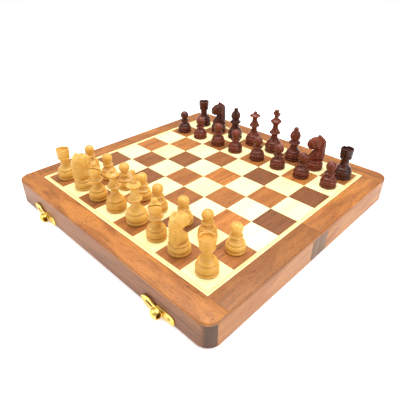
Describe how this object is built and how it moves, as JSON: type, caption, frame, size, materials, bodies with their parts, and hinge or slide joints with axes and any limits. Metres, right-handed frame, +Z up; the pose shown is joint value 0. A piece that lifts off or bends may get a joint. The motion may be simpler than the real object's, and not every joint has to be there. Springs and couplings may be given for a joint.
{
  "type": "folding chess set",
  "caption": "Folding wooden chess box with inlaid playing board, brass latches and hinges, and turned wooden chessmen in their starting places.",
  "frame": {"origin": "middle of the fold line, at the height of the surface that the open board stands on", "axes": "+X along the files' letters from a to h, +Y from the white men to the black men, +Z up out of the playing face"},
  "size_m": [0.3, 0.3116, 0.0832],
  "materials": {
    "frame_wood": "satin lacquered rosewood-like hardwood planks",
    "wall_wood": "satin lacquered hardwood walls, darker streaks",
    "veneer": "satin chequer of maple and acacia veneer on plywood",
    "felt": "felt",
    "brass": "polished, lightly worn",
    "boxwood": "polished golden boxwood",
    "rosewood": "polished dark red-brown rosewood"
  },
  "bodies": {
    "near_half": {"near_end_wall": "wall_wood", "near_left_wall": "wall_wood", "near_right_wall": "wall_wood", "near_fold_wall": "wall_wood", "near_end_plank": "frame_wood", "near_left_plank": "frame_wood", "near_right_plank": "frame_wood", "near_panel": "veneer", "near_liner": "felt", "left_hinge_near_leaf": "brass", "left_latch_plate": "brass", "right_hinge_near_leaf": "brass", "right_latch_plate": "brass"},
    "far_half": {"far_end_wall": "wall_wood", "far_left_wall": "wall_wood", "far_right_wall": "wall_wood", "far_fold_wall": "wall_wood", "far_end_plank": "frame_wood", "far_left_plank": "frame_wood", "far_right_plank": "frame_wood", "far_panel": "veneer", "far_liner": "felt", "left_hinge_far_leaf": "brass", "left_latch_keeper": "brass", "right_hinge_far_leaf": "brass", "right_latch_keeper": "brass"},
    "left_hook": {"left_latch_hook": "brass"},
    "right_hook": {"right_latch_hook": "brass"},
    "white_rook_a": {"white_rook_a": "boxwood"},
    "white_knight_b": {"white_knight_b": "boxwood"},
    "white_bishop_c": {"white_bishop_c": "boxwood"},
    "white_queen": {"white_queen": "boxwood"},
    "white_king": {"white_king": "boxwood"},
    "white_bishop_f": {"white_bishop_f": "boxwood"},
    "white_knight_g": {"white_knight_g": "boxwood"},
    "white_rook_h": {"white_rook_h": "boxwood"},
    "white_pawn_a": {"white_pawn_a": "boxwood"},
    "white_pawn_b": {"white_pawn_b": "boxwood"},
    "white_pawn_c": {"white_pawn_c": "boxwood"},
    "white_pawn_d": {"white_pawn_d": "boxwood"},
    "white_pawn_e": {"white_pawn_e": "boxwood"},
    "white_pawn_f": {"white_pawn_f": "boxwood"},
    "white_pawn_g": {"white_pawn_g": "boxwood"},
    "white_pawn_h": {"white_pawn_h": "boxwood"},
    "black_rook_a": {"black_rook_a": "rosewood"},
    "black_knight_b": {"black_knight_b": "rosewood"},
    "black_bishop_c": {"black_bishop_c": "rosewood"},
    "black_queen": {"black_queen": "rosewood"},
    "black_king": {"black_king": "rosewood"},
    "black_bishop_f": {"black_bishop_f": "rosewood"},
    "black_knight_g": {"black_knight_g": "rosewood"},
    "black_rook_h": {"black_rook_h": "rosewood"},
    "black_pawn_a": {"black_pawn_a": "rosewood"},
    "black_pawn_b": {"black_pawn_b": "rosewood"},
    "black_pawn_c": {"black_pawn_c": "rosewood"},
    "black_pawn_d": {"black_pawn_d": "rosewood"},
    "black_pawn_e": {"black_pawn_e": "rosewood"},
    "black_pawn_f": {"black_pawn_f": "rosewood"},
    "black_pawn_g": {"black_pawn_g": "rosewood"},
    "black_pawn_h": {"black_pawn_h": "rosewood"}
  },
  "joints": [
    {"name": "fold", "type": "hinge", "parent": "near_half", "child": "far_half", "pos_m": [0, 0, 0.00125], "axis": [-1, 0, 0], "range_deg": [0, 180]},
    {"name": "left_hook_swing", "type": "hinge", "parent": "near_half", "child": "left_hook", "pos_m": [-0.089, -0.1515, 0.0064], "axis": [0, -1, 0], "range_deg": [0, 112]},
    {"name": "right_hook_swing", "type": "hinge", "parent": "near_half", "child": "right_hook", "pos_m": [0.096, -0.1515, 0.0064], "axis": [0, -1, 0], "range_deg": [0, 98]},
    {"name": "white_rook_a_lift", "type": "slide", "parent": "near_half", "child": "white_rook_a", "axis": [0, 0, 1], "range_m": [0, 0.06]},
    {"name": "white_knight_b_lift", "type": "slide", "parent": "near_half", "child": "white_knight_b", "axis": [0, 0, 1], "range_m": [0, 0.06]},
    {"name": "white_bishop_c_lift", "type": "slide", "parent": "near_half", "child": "white_bishop_c", "axis": [0, 0, 1], "range_m": [0, 0.06]},
    {"name": "white_queen_lift", "type": "slide", "parent": "near_half", "child": "white_queen", "axis": [0, 0, 1], "range_m": [0, 0.06]},
    {"name": "white_king_lift", "type": "slide", "parent": "near_half", "child": "white_king", "axis": [0, 0, 1], "range_m": [0, 0.06]},
    {"name": "white_bishop_f_lift", "type": "slide", "parent": "near_half", "child": "white_bishop_f", "axis": [0, 0, 1], "range_m": [0, 0.06]},
    {"name": "white_knight_g_lift", "type": "slide", "parent": "near_half", "child": "white_knight_g", "axis": [0, 0, 1], "range_m": [0, 0.06]},
    {"name": "white_rook_h_lift", "type": "slide", "parent": "near_half", "child": "white_rook_h", "axis": [0, 0, 1], "range_m": [0, 0.06]},
    {"name": "white_pawn_a_lift", "type": "slide", "parent": "near_half", "child": "white_pawn_a", "axis": [0, 0, 1], "range_m": [0, 0.06]},
    {"name": "white_pawn_b_lift", "type": "slide", "parent": "near_half", "child": "white_pawn_b", "axis": [0, 0, 1], "range_m": [0, 0.06]},
    {"name": "white_pawn_c_lift", "type": "slide", "parent": "near_half", "child": "white_pawn_c", "axis": [0, 0, 1], "range_m": [0, 0.06]},
    {"name": "white_pawn_d_lift", "type": "slide", "parent": "near_half", "child": "white_pawn_d", "axis": [0, 0, 1], "range_m": [0, 0.06]},
    {"name": "white_pawn_e_lift", "type": "slide", "parent": "near_half", "child": "white_pawn_e", "axis": [0, 0, 1], "range_m": [0, 0.06]},
    {"name": "white_pawn_f_lift", "type": "slide", "parent": "near_half", "child": "white_pawn_f", "axis": [0, 0, 1], "range_m": [0, 0.06]},
    {"name": "white_pawn_g_lift", "type": "slide", "parent": "near_half", "child": "white_pawn_g", "axis": [0, 0, 1], "range_m": [0, 0.06]},
    {"name": "white_pawn_h_lift", "type": "slide", "parent": "near_half", "child": "white_pawn_h", "axis": [0, 0, 1], "range_m": [0, 0.06]},
    {"name": "black_rook_a_lift", "type": "slide", "parent": "far_half", "child": "black_rook_a", "axis": [0, 0, 1], "range_m": [0, 0.06]},
    {"name": "black_knight_b_lift", "type": "slide", "parent": "far_half", "child": "black_knight_b", "axis": [0, 0, 1], "range_m": [0, 0.06]},
    {"name": "black_bishop_c_lift", "type": "slide", "parent": "far_half", "child": "black_bishop_c", "axis": [0, 0, 1], "range_m": [0, 0.06]},
    {"name": "black_queen_lift", "type": "slide", "parent": "far_half", "child": "black_queen", "axis": [0, 0, 1], "range_m": [0, 0.06]},
    {"name": "black_king_lift", "type": "slide", "parent": "far_half", "child": "black_king", "axis": [0, 0, 1], "range_m": [0, 0.06]},
    {"name": "black_bishop_f_lift", "type": "slide", "parent": "far_half", "child": "black_bishop_f", "axis": [0, 0, 1], "range_m": [0, 0.06]},
    {"name": "black_knight_g_lift", "type": "slide", "parent": "far_half", "child": "black_knight_g", "axis": [0, 0, 1], "range_m": [0, 0.06]},
    {"name": "black_rook_h_lift", "type": "slide", "parent": "far_half", "child": "black_rook_h", "axis": [0, 0, 1], "range_m": [0, 0.06]},
    {"name": "black_pawn_a_lift", "type": "slide", "parent": "far_half", "child": "black_pawn_a", "axis": [0, 0, 1], "range_m": [0, 0.06]},
    {"name": "black_pawn_b_lift", "type": "slide", "parent": "far_half", "child": "black_pawn_b", "axis": [0, 0, 1], "range_m": [0, 0.06]},
    {"name": "black_pawn_c_lift", "type": "slide", "parent": "far_half", "child": "black_pawn_c", "axis": [0, 0, 1], "range_m": [0, 0.06]},
    {"name": "black_pawn_d_lift", "type": "slide", "parent": "far_half", "child": "black_pawn_d", "axis": [0, 0, 1], "range_m": [0, 0.06]},
    {"name": "black_pawn_e_lift", "type": "slide", "parent": "far_half", "child": "black_pawn_e", "axis": [0, 0, 1], "range_m": [0, 0.06]},
    {"name": "black_pawn_f_lift", "type": "slide", "parent": "far_half", "child": "black_pawn_f", "axis": [0, 0, 1], "range_m": [0, 0.06]},
    {"name": "black_pawn_g_lift", "type": "slide", "parent": "far_half", "child": "black_pawn_g", "axis": [0, 0, 1], "range_m": [0, 0.06]},
    {"name": "black_pawn_h_lift", "type": "slide", "parent": "far_half", "child": "black_pawn_h", "axis": [0, 0, 1], "range_m": [0, 0.06]}
  ]
}
